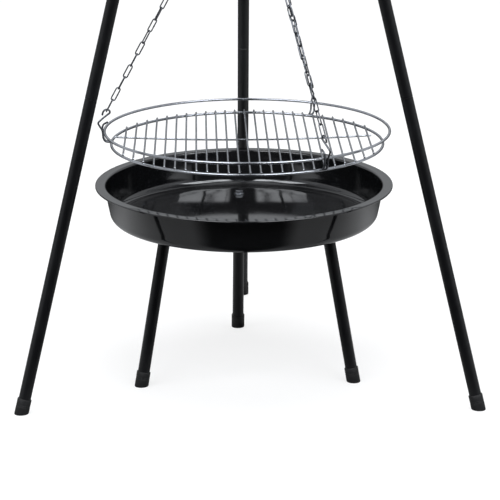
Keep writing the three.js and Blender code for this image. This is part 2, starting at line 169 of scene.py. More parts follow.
# A round wire along a path: path point + radius (cos a * side + sin a * other). The side direction
# is carried along the path, losing at each station what it has along the tangent. An open end is
# bevelled by one narrower ring.
def wireShell(path, radius, section, closed=False):
    radius = np.broadcast_to(np.asarray(radius, float), len(path)).copy()
    if closed:
        tangent = unit(np.roll(path, -1, 0) - np.roll(path, 1, 0))
    else:
        tangent = unit(np.gradient(path, axis=0))
        cutback = wireEnd["cutback"] * radius[0]
        second, beforeLast = path[0] + cutback * tangent[0], path[-1] - cutback * tangent[-1]
        path = np.vstack([path[0], second, path[1:-1], beforeLast, path[-1]])
        tangent = np.vstack([tangent[0], tangent[0], tangent[1:-1], tangent[-1], tangent[-1]])
        radius = np.concatenate([[wireEnd["radius"] * radius[0]], radius, [wireEnd["radius"] * radius[-1]]])
    side = np.empty_like(path)
    guess = np.eye(3)[np.argmin(np.abs(tangent[0]))]
    for station in range(len(path)):
        guess = unit(guess - (guess @ tangent[station]) * tangent[station])
        side[station] = guess
    other = np.cross(tangent, side)
    turn = np.linspace(0, 2 * math.pi, section, endpoint=False)[None, :, None]
    spoke = np.cos(turn) * side[:, None] + np.sin(turn) * other[:, None]
    return shellOf(path[:, None] + radius[:, None, None] * spoke, closed)


# An egg-shaped bead of weld metal: an ellipsoid's radii times the unit sphere, which stops just
# short of its poles and is closed there by small flat faces.
def beadShell(radii, rows=6, columns=8):
    rise = np.linspace(-0.47 * math.pi, 0.47 * math.pi, rows)[:, None]
    turn = np.linspace(0, 2 * math.pi, columns, endpoint=False)[None, :]
    grid = np.stack([np.cos(rise) * np.cos(turn), np.cos(rise) * np.sin(turn), np.sin(rise) + 0 * turn], -1)
    return shellOf(grid * np.asarray(radii, float))


# The level direction at an angle: (cos a, sin a, 0).
def heading(degrees):
    return np.array([math.cos(math.radians(degrees)), math.sin(math.radians(degrees)), 0.0])


# Shell round a leaning leg. Each row is a radius with a distance up the leg, or with a level: there
# the distance is (level - radius cos a sin lean) / cos lean, so that the row lies in a level plane.
def legShell(angle, footRadius, lean, rows, sides, closed):
    outward = heading(angle)
    upwards = np.array([0, 0, 1.0])
    along = upwards * math.cos(lean) - outward * math.sin(lean)
    out = outward * math.cos(lean) + upwards * math.sin(lean)
    across = np.cross(along, out)
    radius = np.array([row[0] for row in rows])[:, None]
    distance = np.array([np.nan if row[1] is None else row[1] for row in rows])[:, None]
    level = np.array([row[2] if len(row) > 2 else np.nan for row in rows])[:, None]
    turn = np.linspace(0, 2 * math.pi, sides, endpoint=False)[None, :]
    cut = (level - radius * np.cos(turn) * math.sin(lean)) / math.cos(lean)
    reach = np.where(np.isnan(level), distance, cut)
    grid = outward * footRadius + reach[..., None] * along
    grid = grid + (radius * np.cos(turn))[..., None] * out + (radius * np.sin(turn))[..., None] * across
    return shellOf(grid, closed)


hexEdge = {"chamfer": 0.0011, "face": 0.97, "boreBevel": 0.0006}  # face: its circle as a share of the flats


# A hexagon with turned corners: the radius is the hexagon's, flat / 2 / cos(angle to the nearest
# flat), but no more than a cone of 30 degrees that starts from a circle on each face.
def hexShell(acrossFlats, low, high, hole=None, centre=(0, 0, 0)):
    turn = np.linspace(0, 2 * math.pi, 72, endpoint=False)[None, :]
    offFlat = np.mod(turn + math.pi / 6, math.pi / 3) - math.pi / 6
    hexagon = acrossFlats / 2 / np.cos(offFlat)
    chamfer, bevel = hexEdge["chamfer"], hexEdge["boreBevel"]
    rise = np.concatenate([np.linspace(0, chamfer, 5), (high - low) - np.linspace(chamfer, 0, 5)])[:, None]
    nearest = np.minimum(rise, (high - low) - rise)
    radius = np.minimum(hexagon, hexEdge["face"] * acrossFlats / 2 + nearest * math.sqrt(3))
    grid = np.stack([radius * np.cos(turn), radius * np.sin(turn), low + rise + 0 * turn], -1)
    if hole is None:
        return shellOf(grid + np.asarray(centre, float))
    bore = np.array([[hole + bevel, high], [hole, high - bevel], [hole, low + bevel], [hole + bevel, low]])
    inside = np.empty((4, turn.size, 3))
    inside[..., 0] = bore[:, :1] * np.cos(turn)
    inside[..., 1] = bore[:, :1] * np.sin(turn)
    inside[..., 2] = bore[:, 1:]
    return shellOf(np.concatenate([grid, inside]) + np.asarray(centre, float), True)


# A threaded rod: radius less a triangle wave of (height / pitch - turn). The wave fades in over the
# first pitch, and the last pitch is worn down by one depth.
def threadShell(radius, low, high, pitch, depth, centre=(0, 0, 0)):
    turn = np.linspace(0, 2 * math.pi, 36, endpoint=False)[None, :]
    rise = np.linspace(low, high, int((high - low) / pitch * 8) + 2)[:, None]
    wave = np.abs(np.mod(rise / pitch - turn / (2 * math.pi), 1) * 2 - 1)
    fade = np.clip((rise - low) / pitch, 0, 1)
    worn = np.clip(1 - (high - rise) / pitch, 0, 1) * depth
    grown = radius - depth * wave * fade - worn
    grid = np.stack([grown * np.cos(turn), grown * np.sin(turn), rise + 0 * turn], -1)
    return shellOf(grid + np.asarray(centre))


# An empty shader group with its sockets, and the nodes where it starts and ends.
def newGroup(name, inputs, outputs):
    group = bpy.data.node_groups.new(name, "ShaderNodeTree")
    for label, kind, value in inputs:
        socket = group.interface.new_socket(label, in_out="INPUT", socket_type=kind)
        if value is not None:
            socket.default_value = value
    for label, kind in outputs:
        group.interface.new_socket(label, in_out="OUTPUT", socket_type=kind)
    start = group.nodes.new("NodeGroupInput")
    end = group.nodes.new("NodeGroupOutput")
    return group, start, end


# A Math node; each value is a number or another node's output.
def mathNode(nodes, links, operation, first, second=None, clamp=False):
    node = nodes.new("ShaderNodeMath")
    node.operation = operation
    node.use_clamp = clamp
    for index, value in enumerate((first, second)):
        if isinstance(value, (int, float)):
            node.inputs[index].default_value = value
        elif value is not None:
            links.new(value, node.inputs[index])
    return node.outputs[0]


# Fine relief: noise of one real size, as a mask and as a bump on top of the normal that comes in.
def grainGroup():
    inputs = [("Grain size", "NodeSocketFloat", 0.001), ("Relief", "NodeSocketFloat", 0.1)]
    inputs += [("Height", "NodeSocketFloat", 0.0001), ("Normal", "NodeSocketVector", None)]
    outputs = [("Mask", "NodeSocketFloat"), ("Normal", "NodeSocketVector")]
    group, start, end = newGroup("surface grain", inputs, outputs)
    nodes, links = group.nodes, group.links
    place = nodes.new("ShaderNodeTexCoord")
    scale = mathNode(nodes, links, "DIVIDE", 1.0, start.outputs["Grain size"])
    noise = nodes.new("ShaderNodeTexNoise")
    noise.inputs["Detail"].default_value = 3
    noise.inputs["Roughness"].default_value = 0.55
    links.new(place.outputs["Object"], noise.inputs["Vector"])
    links.new(scale, noise.inputs["Scale"])
    bump = nodes.new("ShaderNodeBump")
    links.new(start.outputs["Relief"], bump.inputs["Strength"])
    links.new(start.outputs["Height"], bump.inputs["Distance"])
    links.new(noise.outputs["Fac"], bump.inputs["Height"])
    links.new(start.outputs["Normal"], bump.inputs["Normal"])
    links.new(noise.outputs["Fac"], end.inputs["Mask"])
    links.new(bump.outputs["Normal"], end.inputs["Normal"])
    return group


# Handling marks: broad soft patches broken by finer streaks, as a mask from 0 to 1.
def smudgeGroup():
    inputs = [("Patch size", "NodeSocketFloat", 0.03), ("Sharpness", "NodeSocketFloat", 2.0)]
    group, start, end = newGroup("handling marks", inputs, [("Mask", "NodeSocketFloat")])
    nodes, links = group.nodes, group.links
    place = nodes.new("ShaderNodeTexCoord")
    scale = mathNode(nodes, links, "DIVIDE", 1.0, start.outputs["Patch size"])
    fine = mathNode(nodes, links, "MULTIPLY", scale, 6.0)
    shares = []
    for size, detail in ((scale, 2), (fine, 4)):
        noise = nodes.new("ShaderNodeTexNoise")
        noise.inputs["Detail"].default_value = detail
        links.new(place.outputs["Object"], noise.inputs["Vector"])
        links.new(size, noise.inputs["Scale"])
        shares.append(noise.outputs["Fac"])
    broad = mathNode(nodes, links, "MULTIPLY", shares[0], 0.7)
    streaks = mathNode(nodes, links, "MULTIPLY", shares[1], 0.3)
    total = mathNode(nodes, links, "ADD", broad, streaks)
    centred = mathNode(nodes, links, "SUBTRACT", total, 0.5)
    spread = mathNode(nodes, links, "MULTIPLY", centred, start.outputs["Sharpness"])
    links.new(mathNode(nodes, links, "ADD", spread, 0.5, clamp=True), end.inputs["Mask"])
    return group


# Dust that settles on upward faces: the cube of the normal's upward share times a broken noise.
def dustGroup():
    inputs = [("Amount", "NodeSocketFloat", 0.2), ("Speck size", "NodeSocketFloat", 0.002)]
    group, start, end = newGroup("settled dust", inputs, [("Mask", "NodeSocketFloat")])
    nodes, links = group.nodes, group.links
    place = nodes.new("ShaderNodeTexCoord")
    geometry = nodes.new("ShaderNodeNewGeometry")
    split = nodes.new("ShaderNodeSeparateXYZ")
    links.new(geometry.outputs["Normal"], split.inputs[0])
    upward = mathNode(nodes, links, "MAXIMUM", split.outputs["Z"], 0.0)
    upward = mathNode(nodes, links, "POWER", upward, 3.0)
    noise = nodes.new("ShaderNodeTexNoise")
    noise.inputs["Detail"].default_value = 6
    noise.inputs["Roughness"].default_value = 0.7
    links.new(place.outputs["Object"], noise.inputs["Vector"])
    links.new(mathNode(nodes, links, "DIVIDE", 1.0, start.outputs["Speck size"]), noise.inputs["Scale"])
    broken = mathNode(nodes, links, "MULTIPLY", noise.outputs["Fac"], upward)
    settled = mathNode(nodes, links, "MULTIPLY", broken, start.outputs["Amount"], clamp=True)
    links.new(settled, end.inputs["Mask"])
    return group


groups = {"grain": grainGroup(), "smudge": smudgeGroup(), "dust": dustGroup()}


# One of the groups placed in a material; an underscore in a label stands for a space.
def groupNode(nodes, kind, **values):
    node = nodes.new("ShaderNodeGroup")
    node.node_tree = groups[kind]
    for label, value in values.items():
        node.inputs[label.replace("_", " ")].default_value = value
    return node


# A colour between two, each a plain tone or another node's output.
def mixColour(nodes, links, share, first, second):
    mix = nodes.new("ShaderNodeMix")
    mix.data_type = "RGBA"
    links.new(share, mix.inputs[0])
    for index, value in ((6, first), (7, second)):
        if isinstance(value, tuple):
            mix.inputs[index].default_value = (*value, 1)
        else:
            links.new(value, mix.inputs[index])
    return mix.outputs[2]


# A finish from its look: two tones mixed by handling marks, a dust tone on top, roughness between
# two values, fine grain over a slow waviness of the surface.
def newFinish(name, look):
    material = bpy.data.materials.new(name)
    material.use_nodes = True
    nodes, links = material.node_tree.nodes, material.node_tree.links
    shader = nodes["Principled BSDF"]
    shader.inputs["Metallic"].default_value = look["metallic"]
    shader.inputs["IOR"].default_value = look.get("ior", 1.5)
    marks = groupNode(nodes, "smudge", Patch_size=look["patchSize"], Sharpness=look["patchSharpness"])
    dust = groupNode(nodes, "dust", Amount=look["dust"], Speck_size=look["speckSize"])
    wave, grain = (groupNode(nodes, "grain", Grain_size=look[f"{kind}Size"], Relief=look[f"{kind}Relief"],
                             Height=look[f"{kind}Height"]) for kind in ("wave", "grain"))
    geometry = nodes.new("ShaderNodeNewGeometry")
    links.new(geometry.outputs["Normal"], wave.inputs["Normal"])
    links.new(wave.outputs["Normal"], grain.inputs["Normal"])
    links.new(grain.outputs["Normal"], shader.inputs["Normal"])
    tone = mixColour(nodes, links, marks.outputs["Mask"], look["dark"], look["light"])
    tone = mixColour(nodes, links, dust.outputs["Mask"], tone, look["dustTone"])
    links.new(tone, shader.inputs["Base Color"])
    spread = nodes.new("ShaderNodeMapRange")
    spread.inputs["To Min"].default_value, spread.inputs["To Max"].default_value = look["roughness"]
    links.new(marks.outputs["Mask"], spread.inputs["Value"])
    speckle = mathNode(nodes, links, "MULTIPLY", grain.outputs["Mask"], look["grainRoughness"])
    dulled = mathNode(nodes, links, "MULTIPLY", dust.outputs["Mask"], 0.6)
    rough = mathNode(nodes, links, "ADD", spread.outputs["Result"], speckle)
    links.new(mathNode(nodes, links, "ADD", rough, dulled, clamp=True), shader.inputs["Roughness"])
    return material


powderCoat = newFinish("satin powder coat", {
    "metallic": 0, "dark": (0.0036, 0.0037, 0.0044), "light": (0.006, 0.0062, 0.0072),
    "dustTone": (0.16, 0.15, 0.14), "dust": 0.05, "speckSize": 0.003,
    "roughness": (0.24, 0.33), "grainRoughness": 0.06,
    "patchSize": 0.05, "patchSharpness": 2.5,
    "grainSize": 0.0007, "grainRelief": 0.22, "grainHeight": 0.00006,
    "waveSize": 0.006, "waveRelief": 0.08, "waveHeight": 0.0002,
})
capPlastic = newFinish("moulded cap plastic", {
    "metallic": 0, "dark": (0.007, 0.007, 0.0075), "light": (0.013, 0.013, 0.0135),
    "dustTone": (0.2, 0.18, 0.16), "dust": 0.08, "speckSize": 0.002,
    "roughness": (0.42, 0.55), "grainRoughness": 0.08,
    "patchSize": 0.012, "patchSharpness": 2.5,
    "grainSize": 0.0004, "grainRelief": 0.35, "grainHeight": 0.00005,
    "waveSize": 0.004, "waveRelief": 0.08, "waveHeight": 0.0002,
})
enamel = newFinish("bowl enamel", {
    "metallic": 0, "dark": (0.0035, 0.0037, 0.0042), "light": (0.006, 0.0063, 0.007),
    "dustTone": (0.2, 0.19, 0.18), "dust": 0.02, "speckSize": 0.0015,
    "roughness": (0.035, 0.075), "grainRoughness": 0.02, "ior": 2.0,
    "patchSize": 0.06, "patchSharpness": 2.0,
    "grainSize": 0.0012, "grainRelief": 0.05, "grainHeight": 0.00003,
    "waveSize": 0.05, "waveRelief": 0.05, "waveHeight": 0.0006,
})
chromeWire = newFinish("chromed wire", {
    "metallic": 1, "dark": (0.58, 0.6, 0.64), "light": (0.7, 0.72, 0.76),
    "dustTone": (0.16, 0.14, 0.12), "dust": 0.08, "speckSize": 0.0015,
    "roughness": (0.14, 0.2), "grainRoughness": 0.04,
    "patchSize": 0.02, "patchSharpness": 2.5,
    "grainSize": 0.0006, "grainRelief": 0.12, "grainHeight": 0.00003,
    "waveSize": 0.004, "waveRelief": 0.05, "waveHeight": 0.0001,
})
weldMetal = newFinish("weld metal", {
    "metallic": 1, "dark": (0.22, 0.2, 0.18), "light": (0.4, 0.4, 0.4),
    "dustTone": (0.15, 0.12, 0.1), "dust": 0.15, "speckSize": 0.001,
    "roughness": (0.28, 0.42), "grainRoughness": 0.1,
    "patchSize": 0.004, "patchSharpness": 3.0,
    "grainSize": 0.0005, "grainRelief": 0.3, "grainHeight": 0.0001,
    "waveSize": 0.0015, "waveRelief": 0.3, "waveHeight": 0.0002,
})
zincPlate = newFinish("bright zinc plating", {
    "metallic": 1, "dark": (0.13, 0.135, 0.15), "light": (0.23, 0.24, 0.26),
    "dustTone": (0.14, 0.12, 0.1), "dust": 0.1, "speckSize": 0.001,
    "roughness": (0.2, 0.32), "grainRoughness": 0.06,
    "patchSize": 0.006, "patchSharpness": 3.0,
    "grainSize": 0.0004, "grainRelief": 0.2, "grainHeight": 0.00004,
    "waveSize": 0.0025, "waveRelief": 0.1, "waveHeight": 0.0001,
})
print("finishes made")


# One visible piece from its shells, shaded smooth with its real edges kept sharp, riding on a body
# and standing for its CAD nodes. Its place is a turn in degrees and an offset from the tripod's axis:
# (x cos w - y sin w, x sin w + y cos w, z) + offset.
def addPiece(name, shells, material, body, nodes, place=(0, 0, 0), sharp=38):
    points, faces = joinShells(shells)
    turn, offsetX, offsetY = place
    c, s = math.cos(math.radians(turn)), math.sin(math.radians(turn))
    points = points @ np.array([[c, s, 0], [-s, c, 0], [0, 0, 1.0]])
    points = points + np.array([axisX + offsetX, axisY + offsetY, 0])
    mesh = bpy.data.meshes.new(name)
    mesh.from_pydata(points.tolist(), [], [face for block in faces for face in block.tolist()])
    mesh.shade_smooth()
    mesh.set_sharp_from_angle(angle=math.radians(sharp))
    piece = bpy.data.objects.new(name, mesh)
    bpy.context.scene.collection.objects.link(piece)
    materials = material if isinstance(material, list) else [material]
    for one in materials:
        mesh.materials.append(one)
    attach(piece, body)
    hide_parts(*nodes)
    return piece


# Gives the faces of some of a piece's shells its second material.
def paintShells(piece, shells, second):
    counts = [sum(len(block) for block in faces) for _, faces in shells]
    index = [np.full(count, 1 if place in second else 0) for place, count in enumerate(counts)]
    piece.data.polygons.foreach_set("material_index", np.concatenate(index).astype(np.int32))


legs = {
    "tube": 0.022,
    "wall": 0.0015,
    "footCircle": 0.474,
    "socketCircle": 0.0306,
    "section": 0.568,
    "spigot": 0.05,
    "edge": 0.0005,
    "sides": 48,
}
caps = {
    "wall": 0.0015,
    "length": 0.028,
    "floor": 0.009,
    "edge": 0.0011,
    "sole": 0.0012,
    "soleRound": (0.0004, 0.0003),  # in from the side, up from the ground
    "grooves": (0.014, 0.0175),
    "grooveMouth": 0.0009,
    "grooveBottom": 0.0004,
    "grooveDepth": 0.0004,
}
head = {
    "thickness": 0.005,
    "margin": 0.009,
    "edge": 0.0009,
    "boltHole": 0.0043,
    "socketWall": 0.0025,
    "socketDepth": 0.06,
    "socketSunk": 0.002,
    "mouthEdge": 0.0008,
    "mouthBevel": 0.0005,
    "bead": 0.0018,
}

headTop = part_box("tripod_head")[1].z
headHeight = headTop - head["thickness"]
legLean = math.atan((legs["footCircle"] - legs["socketCircle"]) / headHeight)
legLength = headHeight / math.cos(legLean)
boreEnd = legLength - legs["tube"] / 2 * math.tan(legLean) - fitGap


# A tube section up a leg, with the reduced spigot that goes into the next one.
def tubeRows(low, high, spigot):
    outer, edge = legs["tube"] / 2, legs["edge"]
    inner = outer - legs["wall"]
    rows = [[inner, low], [outer - edge, low], [outer, low + edge]]
    rows += [[outer, high - edge], [outer - edge, high]]
    if not spigot:
        return rows + [[inner, high]]
    neck = inner - fitGap
    tip = high + legs["spigot"]
    rows += [[neck, high], [neck, tip - edge], [neck - edge, tip], [neck - legs["wall"], tip]]
    return rows + [[neck - legs["wall"], high - legs["wall"]], [inner, high - legs["wall"]]]


# The push-on foot: a cup whose bottom lies level on the ground, with a rolled mouth and two
# shallow grip grooves.
def capRows():
    outer = legs["tube"] / 2 + fitGap + caps["wall"]
    bore = legs["tube"] / 2 + fitGap
    edge, top, sole = caps["edge"], caps["length"], caps["sole"]
    soleIn, soleUp = caps["soleRound"]
    mouth, bottom, deep = caps["grooveMouth"], caps["grooveBottom"], outer - caps["grooveDepth"]
    rows = [[outer - sole, None, 0.0], [outer - soleIn, None, soleUp], [outer, None, sole]]
    for groove in caps["grooves"]:
        rows += [[outer, groove - mouth], [deep, groove - bottom]]
        rows += [[deep, groove + bottom], [outer, groove + mouth]]
    rows += [[outer, top - edge], [outer - 0.35 * edge, top - 0.35 * edge], [outer - edge, top]]
    return rows + [[bore, top], [bore, caps["floor"]]]


for side, angle in legAngles.items():
    stand = (angle, legs["footCircle"], legLean)
    firstJoint = caps["floor"] + legs["section"]
    secondJoint = firstJoint + legs["section"]
    spans = {
        "lower": (caps["floor"] + fitGap, firstJoint, True),
        "middle": (firstJoint + fitGap, secondJoint, True),
        "upper": (secondJoint + fitGap, boreEnd - fitGap, False),
    }
    for part, span in spans.items():
        tube = legShell(*stand, tubeRows(*span), legs["sides"], True)
        addPiece(f"{part}Leg.{side}", [tube], powderCoat, "tripod", [f"leg_{part}_{side}"])
    cup = legShell(*stand, capRows(), legs["sides"], False)
    addPiece(f"footCap.{side}", [cup], capPlastic, "tripod", [f"foot_cap_{side}"])


# The head: a round plate, three leaning sockets let into it, and a weld bead round each, whose
# radius ripples 36 and 11 times on its way round.
def headShells():
    outer = legs["tube"] / 2 + fitGap + head["socketWall"]
    bore = legs["tube"] / 2 + fitGap
    plateRadius = legs["socketCircle"] + outer / math.cos(legLean) + head["margin"]
    shells = [ringShell(head["boltHole"], plateRadius, headHeight, headTop, 120, head["edge"])]
    mouth, edge, bevel = boreEnd - head["socketDepth"], head["mouthEdge"], head["mouthBevel"]
    inPlate = headHeight + head["socketSunk"]
    turn = np.linspace(0, 2 * math.pi, 144, endpoint=False)
    for angle in legAngles.values():
        rows = [[bore + bevel, mouth], [outer - edge, mouth]]
        rows += [[outer - 0.25 * edge, mouth + 0.25 * edge], [outer, mouth + edge]]
        rows += [[outer, None, inPlate], [bore, None, inPlate], [bore, mouth + bevel]]
        shells.append(legShell(angle, legs["footCircle"], legLean, rows, legs["sides"], True))
        ring = [[outer + 0.0004, None, headHeight - 0.0003], [outer, None, headHeight]]
        path = legShell(angle, legs["footCircle"], legLean, ring, len(turn), False)[0][: len(turn)]
        ripple = head["bead"] * (1 + 0.12 * np.sin(36 * turn) + 0.06 * np.sin(11 * turn))
        shells.append(wireShell(path, ripple, 10, True))
    return shells


addPiece("tripodHead", headShells(), powderCoat, "tripod", ["tripod_head"])
print("tripod made")

chain = {
    "wire": 0.0025,
    "width": 0.010,
    "weld": (-0.0016, -0.0006, 0.0006, 0.0016),  # places of the weld's rings along the link
    "weldGrowth": 1.14,
    "mainPitch": 0.014,
    "mainLinks": 50,
    "slotLink": 44,
    "longPitch": 0.024,
    "longLinks": 20,
}
eye = {
    "wire": 0.006,
    "ring": 0.011,
    "bolt": 0.004,
    "collar": 0.0052,
    "collarRound": 0.0008,
    "pitch": 0.00125,
    "threadDepth": 0.0005,
    "overNut": 0.003,
    "nutFlats": 0.013,
    "nutHeight": 0.008,
}
hook = {"wire": 0.004, "span": 0.045, "radius": 0.0075}
washer = {"outer": 0.010, "inner": 0.0043, "thickness": 0.0016, "edge": 0.0004}


# A flat washer lying at a height.
def washerShell(low, sides, centre=(0, 0, 0)):
    high = low + washer["thickness"]
    return ringShell(washer["inner"], washer["outer"], low, high, sides, washer["edge"], centre)


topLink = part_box("main_chain")[1].z - chain["mainPitch"] / 2 - chain["wire"]
hookLow = topLink + chain["mainPitch"] / 2 - hook["wire"] / 2 - fitGap
hookHigh = hookLow + hook["span"]
eyeCentre = hookHigh - hook["wire"] / 2 - eye["wire"] / 2 - fitGap + eye["ring"]

ringPoints, ringFaces = hoopShell(eye["ring"], eye["wire"] / 2, 0, 64, 16)
standUp = np.array([[1, 0, 0], [0, 0, 1], [0, -1, 0.0]])
uprightRing = (ringPoints @ standUp + np.array([0, 0, eyeCentre]), ringFaces)
eyeTop = eyeCentre + eye["ring"]
nutLow = headTop + washer["thickness"] + 2 * fitGap
collarRows = [[eye["bolt"] / 2, eyeTop - 0.001], [eye["collar"], eyeTop - 0.001]]
collarRows += [[eye["bolt"], eyeTop + 0.005], [eye["bolt"], eyeTop + 0.006]]
collarRows += [[eye["bolt"] / 2, eyeTop + 0.006]]
collar = turned(rounded(collarRows, eye["collarRound"]), 36)
shankHigh = nutLow + eye["nutHeight"] + eye["overNut"]
shank = threadShell(eye["bolt"], eyeTop + 0.004, shankHigh, eye["pitch"], eye["threadDepth"])
addPiece("eyeBolt", [uprightRing, collar, shank], zincPlate, "swivel", ["eye_bolt"])
addPiece("eyeWasher", [washerShell(headTop + fitGap, 64)], zincPlate, "swivel", ["eye_washer"])
nut = hexShell(eye["nutFlats"], nutLow, nutLow + eye["nutHeight"], eye["bolt"])
addPiece("eyeNut", [nut], zincPlate, "swivel", ["eye_nut"], sharp=24)

# The hook is an S: two arcs of one radius, y = -radius cos a, up and down from their centres.
upperArc = np.radians(np.arange(-40, 181, 20))
lowerArc = np.radians(np.arange(0, 221, 20))
highCentre, lowCentre = hookHigh - hook["radius"], hookLow + hook["radius"]
hookPoints = np.concatenate([
    np.stack([0 * arc, -hook["radius"] * np.cos(arc), middle + upOrDown * hook["radius"] * np.sin(arc)], -1)
    for arc, middle, upOrDown in ((upperArc, highCentre, 1), (lowerArc, lowCentre, -1))
])
hookWire = wireShell(smoothPath(hookPoints, 6), hook["wire"] / 2, 18)
addPiece("topHook", [hookWire], zincPlate, "hook", ["top_hook"])


# One link: a wire round a long loop, two half circles joined by straights, thicker at its weld.
# Point = loop point + radius (cos b * outward + sin b * through the link).
def linkShell(pitch):
    halfWidth = (chain["width"] - chain["wire"]) / 2
    straight = pitch / 2 + chain["wire"] / 2 - halfWidth
    arc = np.linspace(0, math.pi, 7)
    weld = np.array(chain["weld"])
    wide, long = halfWidth * np.cos(arc), straight + halfWidth * np.sin(arc)
    x = np.concatenate([wide, [-halfWidth], -wide, 0 * weld + halfWidth])
    y = np.concatenate([long, [0], -long, weld])
    outward = np.concatenate([arc, [math.pi], arc + math.pi, 0 * weld])
    radius = np.full(len(x), chain["wire"] / 2)
    radius[-3:-1] *= chain["weldGrowth"]
    turn = np.linspace(0, 2 * math.pi, 8, endpoint=False)[None, :]
    reach = radius[:, None] * np.cos(turn)
    grid = np.stack([x[:, None] + reach * np.cos(outward)[:, None],
                     y[:, None] + reach * np.sin(outward)[:, None], -radius[:, None] * np.sin(turn)], -1)
    return shellOf(grid, True)


# Links along a straight chain: link n lies at start + n * pitch, turned a quarter from the one
# before and by its own small twist.
def chainShell(start, along, across, count, pitch, twist):
    number = np.arange(count)
    turn = np.radians(90 * (number % 2) + twist)[:, None]
    other = np.cross(along, across)
    wide = np.cos(turn) * across + np.sin(turn) * other
    lengthwise = np.broadcast_to(along, wide.shape)
    bases = np.stack([wide, lengthwise, np.cross(wide, lengthwise)], 1)
    return copiesOf(linkShell(pitch), start + number[:, None] * pitch * along, bases)


# Between the hook and the plate each link hangs a few degrees off, by an amount of its own.
number = np.arange(chain["mainLinks"])
swing = np.sin(math.pi * np.clip(number / (chain["slotLink"] - 1), 0, 1))
mainTwist = swing * (9 + 5 * np.sin(2.1 * number))
mainChain = chainShell(np.array([0, 0, topLink]), np.array([0, 0, -1.0]), np.array([1.0, 0, 0]),
                       chain["mainLinks"], chain["mainPitch"], mainTwist)
addPiece("mainChain", [mainChain], zincPlate, "chain", ["main_chain"])
print("swivel, hook and main chain made")

plate = {"radius": 0.0316, "thickness": 0.0025, "chainHole": 0.003, "holeCircle": 0.0254, "slotHalf": 0.0017,
         "slotEnd": -0.0056, "entryHole": 0.0065, "entryOffset": 0.014, "edge": 0.0003}


# The plate's outlines: its round edge, a keyhole of a straight slot that opens into a round entry
# hole, and three chain holes. They are filled as a flat curve and made a mesh.
def plateMesh(height):
    def circle(x, y, radius, count, first=0.0, last=2 * math.pi):
        turn = np.linspace(first, last, count, endpoint=last - first < 6)
        return np.stack([x + radius * np.cos(turn), y + radius * np.sin(turn)], -1)

    opening = math.pi - math.asin(plate["slotHalf"] / plate["entryHole"])
    keyhole = np.concatenate([
        circle(plate["entryOffset"], 0, plate["entryHole"], 40, -opening, opening),
        circle(plate["slotEnd"] + plate["slotHalf"], 0, plate["slotHalf"], 13, math.pi / 2, 1.5 * math.pi),
    ])
    outlines = [circle(0, 0, plate["radius"], 128), keyhole]
    for angle in grateAngles.values():
        x, y, _ = heading(angle) * plate["holeCircle"]
        outlines.append(circle(x, y, plate["chainHole"], 40))
    flatCurve = bpy.data.curves.new("plate outline", "CURVE")
    flatCurve.dimensions = "2D"
    flatCurve.fill_mode = "BOTH"
    flatCurve.extrude = plate["thickness"] / 2
    for outline in outlines:
        spline = flatCurve.splines.new("POLY")
        spline.points.add(len(outline) - 1)
        heightAndWeight = np.broadcast_to([0.0, 1.0], (len(outline), 2))
        spline.points.foreach_set("co", np.hstack([outline, heightAndWeight]).ravel())
        spline.use_cyclic_u = True
    holder = bpy.data.objects.new("plate outline", flatCurve)
    bpy.context.scene.collection.objects.link(holder)
    bpy.context.view_layer.update()
    mesh = bpy.data.meshes.new_from_object(holder.evaluated_get(bpy.context.evaluated_depsgraph_get()))
    bpy.data.objects.remove(holder)
    bpy.data.curves.remove(flatCurve)
    cleaned = bmesh.new()
    cleaned.from_mesh(mesh)
    bmesh.ops.remove_doubles(cleaned, verts=cleaned.verts, dist=1e-6)
    bmesh.ops.recalc_face_normals(cleaned, faces=cleaned.faces)
    bmesh.ops.translate(cleaned, verts=cleaned.verts, vec=(axisX, axisY, height))
    cleaned.to_mesh(mesh)
    cleaned.free()
    return mesh


plateLow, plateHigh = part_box("height_plate")
plateHeight = (plateLow.z + plateHigh.z) / 2
flatPlate = plateMesh(plateHeight)
flatPlate.name = "heightPlate"
flatPlate.materials.append(zincPlate)
heightPlate = bpy.data.objects.new("heightPlate", flatPlate)
bpy.context.scene.collection.objects.link(heightPlate)
softEdge = heightPlate.modifiers.new("soft edge", "BEVEL")
softEdge.width = plate["edge"]
softEdge.segments = 2
softEdge.limit_method = "ANGLE"
softEdge.angle_limit = math.radians(60)
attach(heightPlate, "grate")
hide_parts("height_plate")
print("height plate made")

grate = {
    "ring": 0.250,
    "ringRise": 0.024,
    "flare": 0.012,
    "ringWire": 0.0025,
    "barWire": 0.00175,
    "barSpacing": 0.01875,
    "barsFree": 1.2,  # spacings left free at each side
    "barSink": 0.0004,
    "overRear": 0.003,
    "overFront": 0.001,
    "crossShort": 0.014,
    "crossRear": 0.044,
    "crossBow": 0.028,
    "bead": (0.0021, 0.0021, 0.0009),
}
hanger = {
    "wire": 0.00175,
    "spread": 0.0035,
    "hookOut": 0.006,
    "hookRise": 0.039,
    "weldSink": 0.0002,
    "bead": (0.0011, 0.0021, 0.0019),
    "lowBeadRise": 0.0014,
}
grateHeight = (ringLow.z + ringHigh.z) / 2 - grate["ringRise"]
upperRadius = grate["ring"] + grate["flare"]

upperHoop = hoopShell(upperRadius, grate["ringWire"], grateHeight + grate["ringRise"], 256, 16)
addPiece("upperRing", [upperHoop], chromeWire, "grate", ["upper_ring"])


